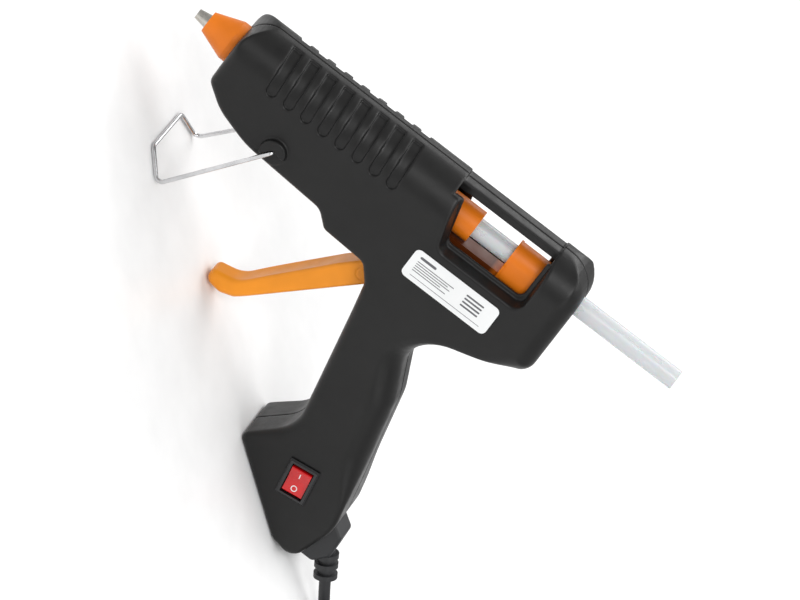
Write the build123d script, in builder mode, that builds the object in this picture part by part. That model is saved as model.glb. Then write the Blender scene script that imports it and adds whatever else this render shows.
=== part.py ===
"""Mains hot-melt glue gun: two-shell housing, trigger feed, melt chamber, wire stand and lead.

The gun is modelled along its own barrel: x runs back from the nozzle tip, z up, and y to the
right, with the left side at negative y. Each piece is then turned nose down about y, so that the
wire stand and the flat foot of the handle rest on the bench. The origin is the middle of that foot.
Lengths are in millimetres and angles in degrees.
"""
import os
from math import cos, hypot, pi, radians, sin, tan

from build123d import *

os.makedirs("parts", exist_ok=True)

# ---------------------------------------------------------------- stance on the bench
NOSE_DOWN = 40.0
FOOT_MID = (168.5, -188.75)

# ---------------------------------------------------------------- housing
HALF_WIDTH = 21.7
CROWN_Z = 0.8
WALL = 2.4
EDGE_ROUND = 3.5
NOSE_X = 25.5
REAR_X = 244.5
TOP_Z = 22.5
FLOOR_SLOPE = tan(radians(NOSE_DOWN))


def foot_line_z(x):
    """Height of the flat foot's plane at x, in the gun's own frame."""
    return FOOT_MID[1] - (x - FOOT_MID[0]) * FLOOR_SLOPE


# Corners of the side view, from the top of the nose round the underside, and their radii.
OUTLINE = [
    ((NOSE_X, TOP_Z), 7.0),
    ((NOSE_X, -16.7), 4.2),
    ((38.0, -25.5), 30.0),
    ((60.0, -33.0), 60.0),
    ((109.0, -36.3), 8.0),
    ((117.0, -44.2), 5.0),
    ((139.0, -44.2), 12.0),
    ((149.9, -49.0), 8.0),
    ((166.9, -148.0), 20.0),
    ((146.8, foot_line_z(146.8)), 4.5),
    ((192.0, foot_line_z(192.0)), 7.0),
    ((207.0, -212.5), 8.0),
    ((214.8, -183.0), 25.0),
    ((199.0, -106.0), 30.0),
    ((189.0, -82.0), 20.0),
    ((189.8, -59.0), 16.0),
    ((REAR_X, -40.4), 6.5),
    ((REAR_X, TOP_Z), 15.0),
]

# ---------------------------------------------------------------- window and grooves
WINDOW = [(164.5, 15.8), (170.5, -9.0), (217.5, -9.0), (217.5, 15.8)]
WINDOW_ROUND = 3.0
BEVEL = [(158.8, 24.0), (169.5, -13.0), (221.5, -13.0), (221.5, 24.0)]
BEVEL_FLOOR_Y = 14.0
RAIL_HALF = 7.0
RAIL_X = (159.0, 219.4)
RAIL_TOP_Z = 21.3
GROOVE_COUNT = 8
GROOVE_PITCH = 10.9
GROOVE_WIDTH = 5.9
GROOVE_DEPTH = 1.1
GROOVE_FIRST_X = 49.0
GROOVE_TOP_HALF = 3.5

# ---------------------------------------------------------------- stick, chamber and nozzle
STICK_R = 5.6
STICK_FRONT_X = 68.0
STICK_TAIL_X = 305.6
STICK_GAP = 0.3
CHAMBER_R = 10.0
CHAMBER_FRONT_X = 24.0
CHAMBER_NECK_X = 90.0
CHAMBER_REAR_X = 100.0
GUIDE_R = 9.25
GUIDE_X = (140.0, 178.0)

# ---------------------------------------------------------------- trigger and feed
PIVOT = (152.5, -44.5)
ARM_LENGTH = 24.0
TRIGGER_TRAVEL = 38.0
PIN_R = 2.0
DRIVE_PIN_R = 1.5
RUNNING_GAP = 0.05
TRIGGER_HALF = 7.8
ARM_HALF = 3.0
REST_ARM = radians(TRIGGER_TRAVEL / 2)
DRIVE = (PIVOT[0] + ARM_LENGTH * sin(REST_ARM), PIVOT[1] + ARM_LENGTH * cos(REST_ARM))
STROKE = 2 * ARM_LENGTH * sin(REST_ARM)
RAIL_Z = (-13.5, -10.2)
BLOCK_X = (202.0, 219.3)
JAW_PIVOT = (213.4, -9.3)

# ---------------------------------------------------------------- stand
STAND_PIVOT = (73.3, -24.8)
WIRE_R = 1.15
STAND_LEG_Y = 23.4
STAND_FOLD = 110.0
BOSS_R = 7.2
BOSS_HEIGHT = 3.0

# ---------------------------------------------------------------- switch, label and screws
SWITCH = (184.8, -170.8)
HANDLE_RAKE = 8.6
ROCKER_TILT = 7.0
TRUNNION_R = 1.0
LABEL = (187.5, -26.7)
LABEL_SIZE = (53.0, 17.8)
SCREWS = [(40.0, -17.5), (108.0, -28.5), (236.0, -31.0), (180.0, -112.0), (203.0, -158.0), (177.0, -189.0)]
POST_R = 3.3
SPRING_POST = (186.5, -31.0)

# ---------------------------------------------------------------- lead
CORD_R = 3.1
RELIEF = (219.9, -208.1)
RELIEF_AXIS = (0.488, -0.873)
RELIEF_END = 13.0
COIL_CENTRE = (122.0, -18.0)
COIL_MEAN_R = 32.0
TIE_ANGLE = -75.0
COIL_HALF_WIDTH = 9.5
COIL_Z = (0.9, 18.5)
LAYER_Z = COIL_Z[0] + CORD_R


def to_bench(x, z):
    """Place of a gun point along the bench and above it."""
    a = radians(NOSE_DOWN)
    x, z = x - FOOT_MID[0], z - FOOT_MID[1]
    return x * cos(a) - z * sin(a), x * sin(a) + z * cos(a)


def from_bench(along, height):
    """Gun point at a distance along the bench and a height above it."""
    a = radians(NOSE_DOWN)
    return (FOOT_MID[0] + along * cos(a) + height * sin(a), FOOT_MID[1] - along * sin(a) + height * cos(a))


STANDING = Location((0, 0, 0), (0, -NOSE_DOWN, 0)) * Location((-FOOT_MID[0], 0, -FOOT_MID[1]))


def write(piece, name, turned=True):
    """Label a piece, stand it on the bench and write it."""
    solid = piece.part.moved(STANDING) if turned else piece.part
    solid.label = name
    export_step(solid, f"parts/{name}.step")


def relief_point(t):
    """Point at distance t along the lead's exit axis."""
    return RELIEF[0] + t * RELIEF_AXIS[0], RELIEF[1] + t * RELIEF_AXIS[1]


def side_plane(x, y, z):
    """Plane whose normal points out of the left side."""
    return Plane(origin=(x, y, z), x_dir=(1, 0, 0), z_dir=(0, -1, 0))


def body_block(inset):
    """Left half of the housing's outer form, or of its cavity when inset by the wall."""
    with BuildPart() as block:
        with BuildSketch(Plane.XZ):
            with BuildLine():
                FilletPolyline(*[p for p, _ in OUTLINE], radius=[r for _, r in OUTLINE], close=True)
            make_face()
            if inset:
                offset(amount=-inset, kind=Kind.INTERSECTION)
        extrude(amount=HALF_WIDTH - inset)
        if not inset:
            fillet(faces().sort_by(Axis.Y)[0].edges(), EDGE_ROUND)
        with BuildSketch(Plane.YZ):
            with Locations((0, CROWN_Z)):
                Circle(HALF_WIDTH - inset)
            with Locations((0, CROWN_Z - 120)):
                Rectangle(2 * (HALF_WIDTH - inset), 240)
        extrude(amount=REAR_X + 10, mode=Mode.INTERSECT)
    return block


def stand_slot():
    """Corners of the boss's slot, which lets the wire swing from open to folded."""
    foot = from_bench(-174.2, WIRE_R)
    start = (foot[0] - STAND_PIVOT[0], foot[1] - STAND_PIVOT[1])
    reach = hypot(*start)
    start = (start[0] / reach, start[1] / reach)
    a = radians(STAND_FOLD)
    end = (start[0] * cos(a) - start[1] * sin(a), start[0] * sin(a) + start[1] * cos(a))
    side, far = 1.6, 11.0
    middle = (start[0] + end[0], start[1] + end[1])
    return [
        (side * start[1], -side * start[0]),
        (side * start[1] + far * start[0], -side * start[0] + far * start[1]),
        (1.6 * far * middle[0], 1.6 * far * middle[1]),
        (-side * end[1] + far * end[0], side * end[0] + far * end[1]),
        (-side * end[1], side * end[0]),
    ]


# ---------------------------------------------------------------- housing shells
outer_half = body_block(0)
cavity_half = body_block(WALL)

with BuildPart() as ribs:
    with Locations((40, -12, 0)):
        Box(2, 24, 46)
    with Locations((95, -12, 7)):
        Box(2, 24, 34)
    with Locations((146, -12, 6), (160, -12, 6)):
        Box(2, 24, 28)
    with BuildSketch(Plane.YZ.offset(30)):
        Circle(CHAMBER_R + 0.2)
    extrude(amount=90, mode=Mode.SUBTRACT)
    with BuildSketch(Plane.YZ.offset(130)):
        Circle(GUIDE_R + 0.05)
    extrude(amount=50, mode=Mode.SUBTRACT)
    add(cavity_half.part, mode=Mode.INTERSECT)

with BuildPart() as window_frame:
    with BuildSketch(side_plane(0, -BEVEL_FLOOR_Y + WALL, 0)):
        with BuildLine():
            FilletPolyline(*BEVEL, radius=[0, 4, 4, 0], close=True)
        make_face()
        offset(amount=WALL, kind=Kind.INTERSECTION)
    extrude(amount=HALF_WIDTH - BEVEL_FLOOR_Y + WALL)
    add(outer_half.part, mode=Mode.INTERSECT)

with BuildPart() as shell_form:
    add(outer_half.part)
    # the grooves pressed into the shoulder of the barrel
    for i in range(GROOVE_COUNT):
        x = GROOVE_FIRST_X + i * GROOVE_PITCH + GROOVE_WIDTH / 2
        with BuildSketch(Plane.YZ.offset(x - GROOVE_WIDTH / 2)):
            with Locations((0, CROWN_Z)):
                Circle(HALF_WIDTH + 3)
                Circle(HALF_WIDTH - GROOVE_DEPTH, mode=Mode.SUBTRACT)
            with Locations((-HALF_WIDTH - GROOVE_TOP_HALF, 12.5 + CROWN_Z)):
                Rectangle(2 * HALF_WIDTH, 25, mode=Mode.INTERSECT)
        extrude(amount=GROOVE_WIDTH, mode=Mode.SUBTRACT)
    # boss of the stand
    with BuildSketch(side_plane(STAND_PIVOT[0], -HALF_WIDTH + 1, STAND_PIVOT[1])):
        Circle(BOSS_R)
    extrude(amount=BOSS_HEIGHT + 1)
    # hollow inside
    add(cavity_half.part, mode=Mode.SUBTRACT)
    add(ribs.part)
    # frame and bevelled recess of the window
    add(window_frame.part)
    with BuildSketch(side_plane(0, -BEVEL_FLOOR_Y, 0)):
        with BuildLine():
            FilletPolyline(*BEVEL, radius=[0, 4, 4, 0], close=True)
        make_face()
    extrude(amount=HALF_WIDTH, taper=-12, mode=Mode.SUBTRACT)
    with Locations((sum(RAIL_X) / 2, -RAIL_HALF - 10, WINDOW[0][1] + 5)):
        Box(RAIL_X[1] - RAIL_X[0], 20, 10, mode=Mode.SUBTRACT)
    with Locations((sum(RAIL_X) / 2, -5, RAIL_TOP_Z + 1.5)):
        Box(RAIL_X[1] - RAIL_X[0], 20, 3, mode=Mode.SUBTRACT)
    # spine over the window
    with Locations(((WINDOW[0][0] + REAR_X - 10) / 2, -RAIL_HALF / 2, (WINDOW[0][1] + RAIL_TOP_Z) / 2)):
        Box(REAR_X - 10 - WINDOW[0][0], RAIL_HALF, RAIL_TOP_Z - WINDOW[0][1])
    # carriage slide, trigger bearing, spring post and stand bearing
    with Locations((202.0, -12.1, -15.15)):
        Box(64, 14.4, 2.5)
    with BuildSketch(side_plane(PIVOT[0], -TRIGGER_HALF - 0.4, PIVOT[1])):
        Circle(4.6)
    extrude(until=Until.NEXT)
    with BuildSketch(side_plane(SPRING_POST[0], 0, SPRING_POST[1])):
        Circle(2.0)
    extrude(amount=HALF_WIDTH - 1)
    with BuildSketch(side_plane(STAND_PIVOT[0], -13.5, STAND_PIVOT[1])):
        Circle(3.6)
    extrude(amount=HALF_WIDTH - 14.5)
    for x, z in SCREWS:
        with BuildSketch(side_plane(x, 0, z)):
            Circle(POST_R)
        extrude(amount=HALF_WIDTH - 1)
    # openings: window, nozzle, stick, trigger slot, lead and stand bearing
    with BuildSketch(side_plane(0, 0, 0)):
        with BuildLine():
            FilletPolyline(*WINDOW, radius=WINDOW_ROUND, close=True)
        make_face()
    extrude(amount=HALF_WIDTH + 1, mode=Mode.SUBTRACT)
    with BuildSketch(Plane.YZ.offset(NOSE_X - 2)):
        Circle(11.7)
    extrude(amount=8, mode=Mode.SUBTRACT)
    with BuildSketch(Plane.YZ.offset(REAR_X - 6)):
        Circle(STICK_R + 0.5)
    extrude(amount=10, mode=Mode.SUBTRACT)
    with BuildSketch(side_plane(0, 0, 0)):
        Polygon((137.5, -30), (156, -30), (156.5, -58), (171, -143), (150, -143), (137.5, -60), align=None)
    extrude(amount=TRIGGER_HALF + 0.6, mode=Mode.SUBTRACT)
    with BuildSketch(side_plane(0, 0, 0)):
        Polygon((203, -188), (209, -180.5), (228, -186), (228, -220), (203, -222), (200, -205), align=None)
    extrude(amount=9.8, mode=Mode.SUBTRACT)
    with BuildSketch(side_plane(STAND_PIVOT[0], -14.5, STAND_PIVOT[1])):
        Circle(WIRE_R + RUNNING_GAP)
    extrude(amount=15, mode=Mode.SUBTRACT)
    with BuildSketch(side_plane(STAND_PIVOT[0], -HALF_WIDTH - 0.4, STAND_PIVOT[1])):
        Polygon(*stand_slot(), align=None)
        Circle(1.6)
    extrude(amount=BOSS_HEIGHT + 1, mode=Mode.SUBTRACT)
    with BuildSketch(side_plane(PIVOT[0], 0, PIVOT[1])):
        Circle(PIN_R + RUNNING_GAP)
    extrude(amount=15.2, mode=Mode.SUBTRACT)

with BuildPart() as left_shell:
    add(shell_form.part)
    with BuildSketch(side_plane(0, 0, 0)):
        with Locations(*SCREWS):
            Circle(1.5)
    extrude(amount=11, mode=Mode.SUBTRACT)
    switch_hole = Plane(
        origin=(SWITCH[0], -HALF_WIDTH - 1, SWITCH[1]),
        x_dir=(cos(radians(HANDLE_RAKE)), 0, sin(radians(HANDLE_RAKE))),
        z_dir=(0, -1, 0),
    )
    with BuildSketch(switch_hole):
        Rectangle(14.8, 20.4)
    extrude(amount=-WALL - 2, mode=Mode.SUBTRACT)
write(left_shell, "left_shell")

with BuildPart() as right_shell:
    add(mirror(shell_form.part, about=Plane.XZ))
    with BuildSketch(side_plane(0, HALF_WIDTH + 1, 0)):
        with Locations(*SCREWS):
            Circle(1.6)
    extrude(amount=HALF_WIDTH + 1, mode=Mode.SUBTRACT)
    with BuildSketch(side_plane(0, HALF_WIDTH + 1, 0)):
        with Locations(*SCREWS):
            Circle(3.1)
    extrude(amount=10.7, mode=Mode.SUBTRACT)
write(right_shell, "right_shell")

with BuildPart() as shell_screws:
    with BuildSketch(side_plane(0, 12.0, 0)):
        with Locations(*SCREWS):
            Circle(1.4)
    extrude(amount=20.5)
    with BuildSketch(side_plane(0, 14.0, 0)):
        with Locations(*SCREWS):
            Circle(2.8)
    extrude(amount=2.0)
    with BuildSketch(side_plane(0, 14.0, 0)):
        with Locations(*SCREWS):
            Rectangle(3.4, 0.7)
            Rectangle(0.7, 3.4)
    extrude(amount=1.2, mode=Mode.SUBTRACT)
write(shell_screws, "shell_screws")

with BuildPart() as rating_label:
    with BuildSketch(side_plane(LABEL[0], -HALF_WIDTH, LABEL[1])):
        RectangleRounded(*LABEL_SIZE, 3.0)
    extrude(amount=0.25)
write(rating_label, "rating_label")


# ---------------------------------------------------------------- hot end
def turned_part(profile):
    """Piece turned about the stick's axis from corners (x, radius)."""
    with BuildPart() as piece:
        with BuildSketch(Plane.XZ):
            Polygon(*profile, align=None)
        revolve(axis=Axis.X)
    return piece


nozzle_tip = turned_part(
    [(0, 1.0), (0, 2.75), (7.5, 4.0), (14, 4.0), (14, 6.0), (20, 6.0), (20, 4.0), (31, 4.0), (31, 2.6), (8, 2.6), (6, 1.0)]
)
write(nozzle_tip, "nozzle_tip")

nozzle_sleeve = turned_part(
    [(6.8, 4.3), (6.8, 5.9), (22, 11.4), (28.2, 11.4), (28.2, 13.4), (30.4, 13.4), (30.4, 9.6), (22, 9.6), (9.5, 4.8)]
)
write(nozzle_sleeve, "nozzle_sleeve")

with BuildPart() as melt_chamber:
    with BuildSketch(Plane.XZ):
        Polygon(
            (CHAMBER_FRONT_X, 4.05),
            (CHAMBER_FRONT_X, 7.5),
            (32, 7.5),
            (32, CHAMBER_R),
            (CHAMBER_NECK_X, CHAMBER_R),
            (CHAMBER_NECK_X, 8.4),
            (CHAMBER_REAR_X, 8.4),
            (CHAMBER_REAR_X, 5.9),
            (50, 5.9),
            (42, 1.8),
            (31, 1.8),
            (31, 4.05),
            align=None,
        )
    revolve(axis=Axis.X)
    with Locations((66, 0, -12.5)):
        Box(42, 15, 8)
    with BuildSketch(Plane.YZ.offset(50)):
        Circle(5.9)
    extrude(amount=60, mode=Mode.SUBTRACT)
    with Locations((66, 0, -12.9)):
        Box(44, 12.2, 2.8, mode=Mode.SUBTRACT)
write(melt_chamber, "melt_chamber")

with BuildPart() as heater_element:
    with Locations((66, 0, -12.9)):
        Box(38, 11.8, 2.5)
    fillet(heater_element.edges().filter_by(Axis.Z), 1.0)
write(heater_element, "heater_element")

with BuildPart() as check_ball:
    with Locations((27.5, 0, 0)):
        Sphere(2.3)
write(check_ball, "check_ball")

with BuildPart() as check_spring:
    with BuildLine() as coil_line:
        Helix(pitch=2.0, height=14.0, radius=1.9, center=(9.6, 0, 0), direction=(1, 0, 0))
    with BuildSketch(Plane(origin=coil_line.line @ 0, z_dir=coil_line.line % 0)):
        Circle(0.3)
    sweep(is_frenet=True)
write(check_spring, "check_spring")

feed_sleeve = turned_part(
    [(91.5, 8.5), (91.5, 9.8), (112, 9.8), (116, 7.8), (138, 7.8), (138, 5.95), (100.3, 5.95), (100.3, 8.5)]
)
write(feed_sleeve, "feed_sleeve")

with BuildPart() as sleeve_clip:
    with Locations(Location((97.5, 0, 0), (0, 90, 0))):
        Torus(10.45, 0.6)
write(sleeve_clip, "sleeve_clip")

with BuildPart() as front_guide:
    with BuildSketch(Plane.XZ):
        Polygon(
            (GUIDE_X[0], 7.2),
            (GUIDE_X[0], GUIDE_R),
            (GUIDE_X[1], GUIDE_R),
            (GUIDE_X[1], 6.9),
            (GUIDE_X[1] - 3, 6.0),
            (GUIDE_X[0] + 4, 6.0),
            align=None,
        )
    revolve(axis=Axis.X)
    fillet(front_guide.edges().filter_by(GeomType.CIRCLE).sort_by(Axis.X)[-1:], 0.6)
write(front_guide, "front_guide")

with BuildPart() as glue_stick:
    with BuildSketch(Plane.YZ.offset(STICK_FRONT_X)):
        Circle(STICK_R)
    extrude(amount=STICK_TAIL_X - STICK_FRONT_X)
    chamfer(glue_stick.edges().filter_by(GeomType.CIRCLE), 0.4)
write(glue_stick, "glue_stick")

# ---------------------------------------------------------------- feed
with BuildPart() as feed_carriage:
    with BuildSketch(Plane.YZ.offset(BLOCK_X[0])):
        Circle(8.9)
        with Locations((0, -6.2)):
            Rectangle(17.8, 12.4)
    extrude(amount=BLOCK_X[1] - BLOCK_X[0])
    fillet(feed_carriage.edges().filter_by(Axis.X).sort_by(Axis.Z)[:2], 2.5)
    with BuildSketch(Plane.YZ.offset(BLOCK_X[0] - 1.4)):
        Circle(9.3)
        with Locations((0, -6.5)):
            Rectangle(17.0, 12.6)
    extrude(amount=1.4)
    with Locations(((BLOCK_X[0] + 150) / 2, 0, sum(RAIL_Z) / 2)):
        Box(BLOCK_X[0] - 150, 11, RAIL_Z[1] - RAIL_Z[0])
    with Locations((DRIVE[0], -4.8, -18.6), (DRIVE[0], 4.8, -18.6)):
        Box(11, 2.4, 15.6)
    with BuildSketch(Plane.YZ.offset(BLOCK_X[0] - 10)):
        Circle(STICK_R + STICK_GAP)
    extrude(amount=40, mode=Mode.SUBTRACT)
    with BuildSketch(side_plane(DRIVE[0], 10, -21.2)):
        SlotOverall(2 * DRIVE_PIN_R + 3.4, 2 * DRIVE_PIN_R + 0.3, rotation=90)
    extrude(amount=20, mode=Mode.SUBTRACT)
    with Locations((209.9, 0, -8.3)):
        Box(11.4, 6.6, 6.2, mode=Mode.SUBTRACT)
    with BuildSketch(side_plane(JAW_PIVOT[0], 6, JAW_PIVOT[1])):
        Circle(1.0 + RUNNING_GAP)
    extrude(amount=12, mode=Mode.SUBTRACT)
write(feed_carriage, "feed_carriage")

with BuildPart() as grip_jaw:
    with BuildSketch(side_plane(0, 3.0, 0)):
        Polygon((205.4, -6.2), (206.6, -6.9), (207.8, -6.2), (209.0, -6.9), (210.2, -6.3), (214.6, -7.4),
                (214.9, -10.6), (206.0, -10.0), align=None)
    extrude(amount=6.0)
    with BuildSketch(side_plane(JAW_PIVOT[0], 5.5, JAW_PIVOT[1])):
        Circle(1.0)
    extrude(amount=11.0)
write(grip_jaw, "grip_jaw")

TRIGGER_OUTLINE = [
    ((145.5, -38.5), 4.0),
    ((159.0, -38.5), 4.0),
    ((159.0, -53.5), 4.0),
    ((151.2, -61.9), 3.0),
    ((101.0, -116.5), 6.0),
    ((93.5, -119.2), 4.0),
    ((82.5, -118.0), 4.0),
    ((83.5, -110.4), 3.5),
    ((97.5, -107.5), 14.0),
    ((111.5, -89.5), 40.0),
    ((133.0, -62.5), 30.0),
    ((142.0, -52.5), 6.0),
]
with BuildPart() as trigger:
    with BuildSketch(Plane.XZ):
        with BuildLine():
            FilletPolyline(*[p for p, _ in TRIGGER_OUTLINE], radius=[r for _, r in TRIGGER_OUTLINE], close=True)
        make_face()
    extrude(amount=TRIGGER_HALF, both=True)
    fillet(trigger.faces().sort_by(Axis.Y)[0].edges(), 2.0)
    fillet(trigger.faces().sort_by(Axis.Y)[-1].edges(), 2.0)
    with BuildSketch(Plane.XZ):
        with Locations(((PIVOT[0] + DRIVE[0]) / 2, (PIVOT[1] + DRIVE[1]) / 2)):
            Rectangle(7.2, ARM_LENGTH, rotation=-TRIGGER_TRAVEL / 2)
        with Locations(DRIVE):
            Circle(3.6)
    extrude(amount=ARM_HALF, both=True)
    with BuildSketch(Plane.XZ):
        with Locations(PIVOT):
            Circle(PIN_R + RUNNING_GAP)
        with Locations(DRIVE):
            Circle(DRIVE_PIN_R)
    extrude(amount=20, both=True, mode=Mode.SUBTRACT)
write(trigger, "trigger")

with BuildPart() as trigger_pin:
    with BuildSketch(side_plane(PIVOT[0], 15, PIVOT[1])):
        Circle(PIN_R)
    extrude(amount=30)
    chamfer(trigger_pin.edges().filter_by(GeomType.CIRCLE), 0.4)
write(trigger_pin, "trigger_pin")

with BuildPart() as drive_pin:
    with BuildSketch(side_plane(DRIVE[0], 6.4, DRIVE[1])):
        Circle(DRIVE_PIN_R)
    extrude(amount=12.8)
    chamfer(drive_pin.edges().filter_by(GeomType.CIRCLE), 0.3)
write(drive_pin, "drive_pin")

with BuildPart() as return_spring:
    with BuildLine() as spring_line:
        Helix(pitch=1.6, height=20.8, radius=2.6, center=(162.2, 0, SPRING_POST[1]), direction=(1, 0, 0))
    with BuildSketch(Plane(origin=spring_line.line @ 0, z_dir=spring_line.line % 0)):
        Circle(0.4)
    sweep(is_frenet=True)
write(return_spring, "return_spring")

# ---------------------------------------------------------------- stand
leg_foot = from_bench(-174.2, WIRE_R)
toe_bar = from_bench(-191.2, WIRE_R)
stand_path = [
    (STAND_PIVOT[0], -15.0, STAND_PIVOT[1]),
    (STAND_PIVOT[0], -STAND_LEG_Y, STAND_PIVOT[1]),
    (leg_foot[0], -30.9, leg_foot[1]),
    (toe_bar[0], -21.7, toe_bar[1]),
    (toe_bar[0], 21.7, toe_bar[1]),
    (leg_foot[0], 30.9, leg_foot[1]),
    (STAND_PIVOT[0], STAND_LEG_Y, STAND_PIVOT[1]),
    (STAND_PIVOT[0], 15.0, STAND_PIVOT[1]),
]
with BuildPart() as stand_wire:
    with BuildLine():
        FilletPolyline(*stand_path, radius=[1.8, 3.5, 4.0, 4.0, 3.5, 1.8])
    with BuildSketch(Plane(origin=stand_path[0], z_dir=(0, -1, 0))):
        Circle(WIRE_R)
    sweep(transition=Transition.RIGHT)
write(stand_wire, "stand_wire")

# ---------------------------------------------------------------- switch
switch_face = Plane(
    origin=(SWITCH[0], -HALF_WIDTH, SWITCH[1]),
    x_dir=(cos(radians(HANDLE_RAKE)), 0, sin(radians(HANDLE_RAKE))),
    z_dir=(0, -1, 0),
)
up_handle = Vector(-sin(radians(HANDLE_RAKE)), 0, cos(radians(HANDLE_RAKE)))
rocker_plane = Plane(
    origin=(SWITCH[0], -HALF_WIDTH + 3.6, SWITCH[1]),
    x_dir=up_handle * cos(radians(ROCKER_TILT)) + Vector(0, -sin(radians(ROCKER_TILT)), 0),
    z_dir=(cos(radians(HANDLE_RAKE)), 0, sin(radians(HANDLE_RAKE))),
)
with BuildPart() as switch_body:
    with BuildSketch(switch_face):
        Rectangle(17.0, 22.0)
    extrude(amount=1.7)
    chamfer(switch_body.faces().sort_by(Axis.Y)[0].edges(), 0.9)
    with BuildSketch(switch_face):
        Rectangle(14.4, 20.0)
    extrude(amount=-12.0)
    with BuildSketch(switch_face.offset(1.7)):
        Rectangle(12.4, 18.0)
    extrude(amount=-10.2, mode=Mode.SUBTRACT)
    with BuildSketch(rocker_plane):
        Circle(TRUNNION_R + RUNNING_GAP)
    extrude(amount=7.2, both=True, mode=Mode.SUBTRACT)
write(switch_body, "switch_body")

with BuildPart() as switch_rocker:
    with BuildSketch(rocker_plane):
        with BuildLine():
            FilletPolyline((-8.2, 5.2), (0, 3.4), (8.2, 5.2), (6.6, -3.4), (-6.6, -3.4), radius=[0.8, 6, 0.8, 1, 1],
                           close=True)
        make_face()
    extrude(amount=5.7, both=True)
    with BuildSketch(rocker_plane):
        Circle(TRUNNION_R)
    extrude(amount=6.9, both=True)
write(switch_rocker, "switch_rocker")

with BuildPart() as switch_terminals:
    with BuildSketch(switch_face.offset(-12.0)):
        with Locations((0, -6.5), (0, 0), (0, 6.5)):
            Rectangle(4.8, 0.8)
    extrude(amount=-8.0)
write(switch_terminals, "switch_terminals")

# ---------------------------------------------------------------- lead entry
relief_plane = Plane(
    origin=(RELIEF[0], 0, RELIEF[1]), x_dir=(0, 1, 0), z_dir=(RELIEF_AXIS[0], 0, RELIEF_AXIS[1])
)
with BuildPart() as strain_relief:
    with BuildSketch(Plane.XZ):
        with BuildLine():
            FilletPolyline((204.5, -189), (209.5, -181.8), (221.2, -190.4), (221.9, -203.5), (215.5, -211.9),
                           (205.2, -211.9), radius=[0, 0, 3, 3, 3, 2], close=True)
        make_face()
    extrude(amount=9.4, both=True)
    fillet(strain_relief.edges().filter_by(Axis.Y, reverse=True).sort_by(Axis.X)[-3:], 2.0)
    with BuildSketch(relief_plane.offset(-6)):
        Circle(4.3)
    extrude(amount=RELIEF_END + 6)
    for t in (-1.4, 4.1, 10.3):
        with BuildSketch(relief_plane.offset(t)):
            Circle(6.3)
        extrude(amount=2.7)
    with BuildSketch(relief_plane.offset(-40)):
        Circle(CORD_R)
    extrude(amount=40 + RELIEF_END, mode=Mode.SUBTRACT)
write(strain_relief, "strain_relief")

with BuildPart() as cord_tail:
    with BuildSketch(relief_plane.offset(-30)):
        Circle(CORD_R - 0.02)
    extrude(amount=30 + RELIEF_END)
write(cord_tail, "cord_tail")


def lead(points, name):
    """Insulated wire laid through the housing along its corners."""
    with BuildPart() as wire:
        with BuildLine() as route:
            FilletPolyline(*points, radius=[4.0] * (len(points) - 2))
        with BuildSketch(Plane(origin=route.line @ 0, z_dir=route.line % 0)):
            Circle(1.2)
        sweep(transition=Transition.RIGHT)
    write(wire, name)


tail_end = relief_point(-31.8)
lead([(tail_end[0], 1.5, tail_end[1]), (202, 7, -172), (196, 13, -150), (189, 13, -105), (178, 13, -62),
      (165, 13, -33), (120, 13, -21), (98, 9, -17), (86.5, 3, -12.9)], "neutral_lead")
lead([(tail_end[0], -1.5, tail_end[1]), (197, -4, -181), (189.4, -5.0, -178.2)], "live_lead")
lead([(184, -5.0, -161.5), (184.5, -9, -146), (187, -13, -130), (188, -13, -105), (178, -13, -62),
      (165, -13, -33), (120, -13, -21), (98, -9, -17), (86.5, -3, -12.9)], "heater_lead")

# ---------------------------------------------------------------- free lead, laid on the bench
exit_point = relief_point(RELIEF_END)
exit_x, exit_z = to_bench(*exit_point)
CORD_ROUTE = [
    (exit_x, 0.0, exit_z),
    (exit_x + 14.0, 0.0, exit_z - 5.3),
    (exit_x + 29.0, 3.0, LAYER_Z),
    (exit_x + 45.0, 10.0, LAYER_Z),
    (COIL_CENTRE[0] - 1.0, COIL_CENTRE[1] + COIL_MEAN_R, LAYER_Z),
]


def corner_radii(points):
    """Largest tangent arc at each corner: 0.45 of the shorter run over the half turn's tangent."""
    radii = []
    for before, here, after in zip(points, points[1:], points[2:]):
        first = Vector(*here) - Vector(*before)
        second = Vector(*after) - Vector(*here)
        turn = first.get_angle(second)
        radii.append(0.45 * min(first.length, second.length) / tan(radians(turn / 2)))
    return radii


cord_radii = corner_radii(CORD_ROUTE)
with BuildPart() as mains_cord:
    with BuildLine() as cord_line:
        FilletPolyline(*CORD_ROUTE, radius=cord_radii)
    with BuildSketch(Plane(origin=cord_line.line @ 0, z_dir=cord_line.line % 0)):
        Circle(CORD_R)
    sweep(transition=Transition.RIGHT)
write(mains_cord, "mains_cord", turned=False)

with BuildPart() as cord_coil:
    with BuildSketch(Plane.XZ.offset(-COIL_CENTRE[1])):
        with Locations((COIL_CENTRE[0] + COIL_MEAN_R, sum(COIL_Z) / 2)):
            RectangleRounded(2 * COIL_HALF_WIDTH, COIL_Z[1] - COIL_Z[0], 3.0)
    revolve(axis=Axis((COIL_CENTRE[0], COIL_CENTRE[1], 0), (0, 0, 1)))
    add(mains_cord.part, mode=Mode.SUBTRACT)
write(cord_coil, "cord_coil", turned=False)

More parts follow.
